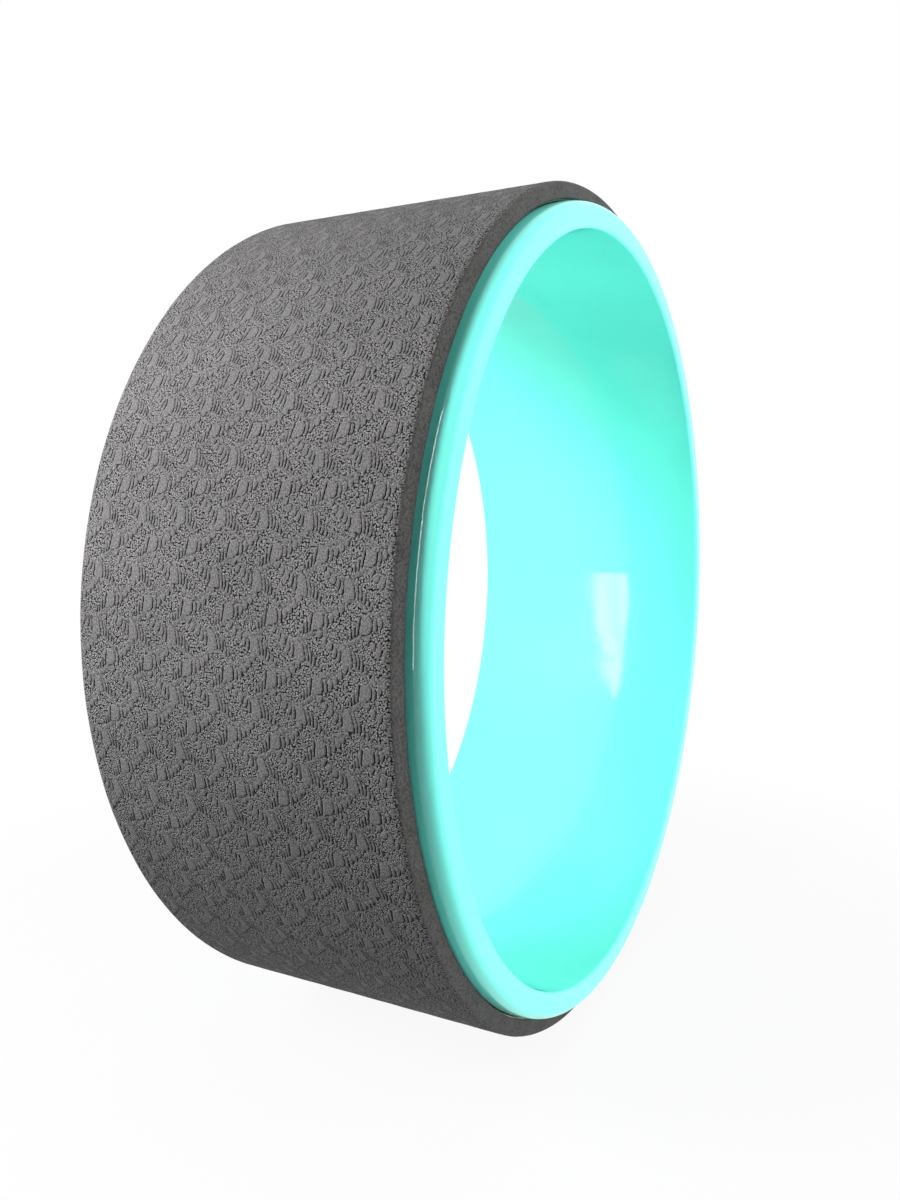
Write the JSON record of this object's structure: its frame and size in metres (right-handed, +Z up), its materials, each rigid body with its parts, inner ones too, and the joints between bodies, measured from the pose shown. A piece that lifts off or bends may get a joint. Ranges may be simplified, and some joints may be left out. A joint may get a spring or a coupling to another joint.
{
  "type": "back roller wheel",
  "caption": "Rigid plastic hoop with an embossed foam mat bonded round its outside, rolled under the back for stretching; the bore is open and the wheel turns only as a whole.",
  "frame": {"origin": "centre of the wheel, on its axis, halfway between its end faces", "axes": "+Y along the wheel's axis, +Z up, so the wheel stands on its tread; the -Y end face is the one nearer the camera in the picture"},
  "size_m": [0.3298, 0.128, 0.3298],
  "materials": {
    "hoop_plastic": "glossy moulded mint green",
    "adhesive": "cured contact adhesive, hidden between the hoop and the mat",
    "mat_foam": "matte grey closed-cell foam with an embossed non-slip pattern and plain cut edges"
  },
  "bodies": {
    "root": {"hoop": "hoop_plastic", "adhesive_film": "adhesive", "foam_mat": "mat_foam"}
  },
  "joints": []
}
